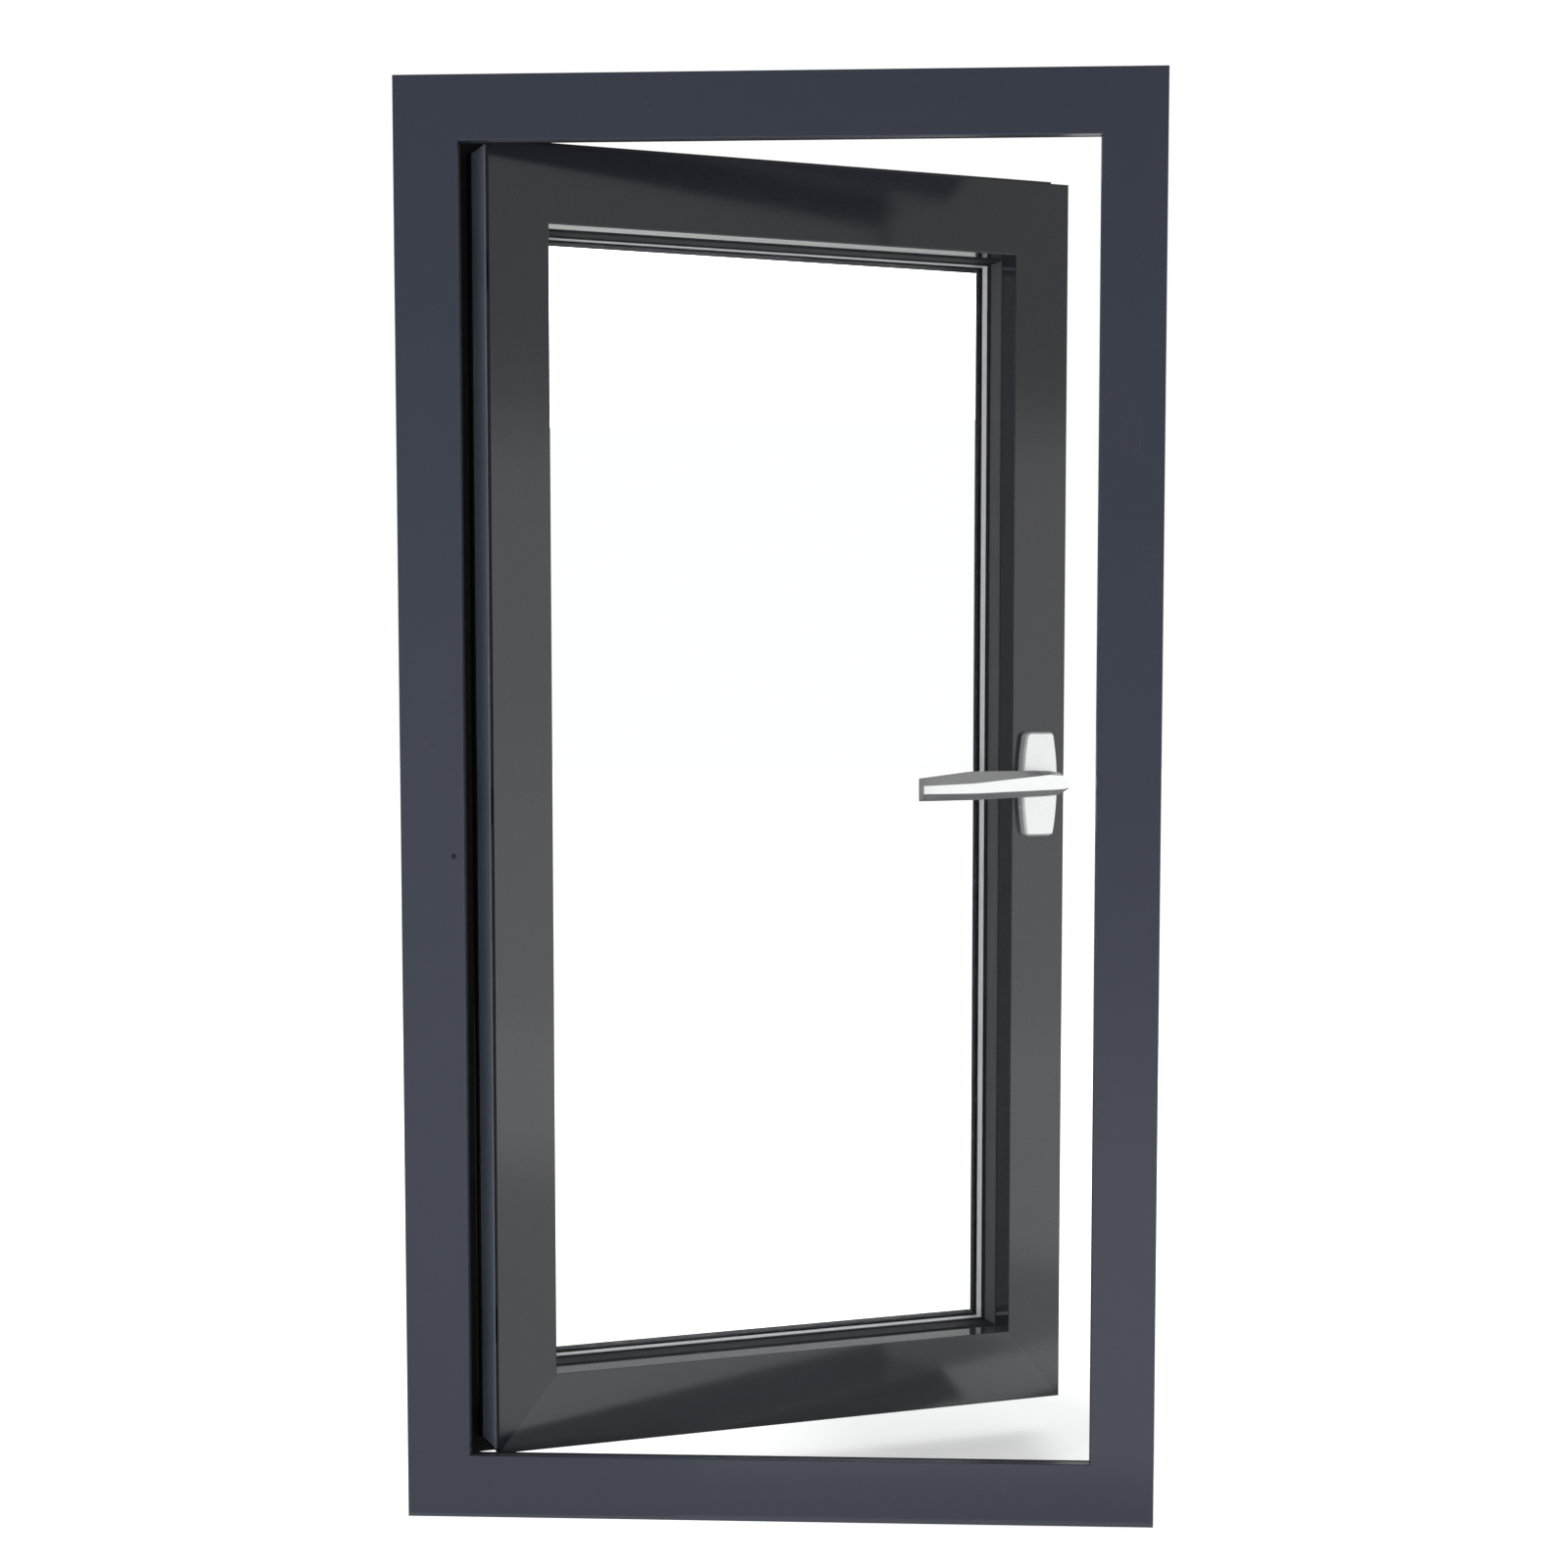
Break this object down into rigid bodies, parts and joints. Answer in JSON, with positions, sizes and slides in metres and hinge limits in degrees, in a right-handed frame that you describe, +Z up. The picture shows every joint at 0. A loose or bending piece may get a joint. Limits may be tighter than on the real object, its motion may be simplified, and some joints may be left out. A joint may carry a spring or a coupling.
{
  "type": "side-hung casement window",
  "caption": "Aluminium casement window with a mitred outer frame and a double-glazed sash hung on one side, opening outwards, with a lever handle on the lock stile.",
  "frame": {"origin": "centre of the sill's underside, halfway through the frame's depth", "axes": "+X to the right as seen from the room, +Y out of the building, +Z up"},
  "size_m": [0.735, 0.3797, 1.4],
  "materials": {
    "frame_coating": "satin anthracite powder coat",
    "sash_coating": "satin anthracite powder coat",
    "black_seal": "matt black rubber",
    "clear_glass": "clear float glass",
    "spacer_metal": "mill aluminium",
    "hinge_coating": "satin anthracite powder coat",
    "steel_fittings": "brushed stainless steel",
    "handle_metal": "satin silver"
  },
  "bodies": {
    "frame": {"frame_sill": "frame_coating", "frame_head": "frame_coating", "frame_hinge_jamb": "frame_coating", "frame_lock_jamb": "frame_coating", "frame_seal": "black_seal", "hinge_frame_leaves": "hinge_coating", "hinge_pins": "steel_fittings", "strike_plates": "steel_fittings"},
    "sash": {"sash_bottom_rail": "sash_coating", "sash_top_rail": "sash_coating", "sash_hinge_stile": "sash_coating", "sash_lock_stile": "sash_coating", "glazing_bead_bottom": "sash_coating", "glazing_bead_top": "sash_coating", "glazing_bead_hinge_side": "sash_coating", "glazing_bead_lock_side": "sash_coating", "glass_inner_pane": "clear_glass", "glass_outer_pane": "clear_glass", "glass_spacer": "spacer_metal", "glazing_gasket_inside": "black_seal", "glazing_gasket_outside": "black_seal", "sash_seal": "black_seal", "lock_faceplate": "steel_fittings", "hinge_sash_leaves": "hinge_coating", "handle_plate": "handle_metal"},
    "handle": {"handle_lever": "handle_metal"}
  },
  "joints": [
    {"name": "sash_hinge", "type": "hinge", "parent": "frame", "child": "sash", "pos_m": [-0.343, 0.053, 0.7], "axis": [0, 0, 1], "range_deg": [-24.2, 65.8]},
    {"name": "handle_turn", "type": "hinge", "parent": "sash", "child": "handle", "pos_m": [0.25861, 0.23293, 0.719], "axis": [0.4099, -0.9121, 0], "range_deg": [0, 90]}
  ]
}
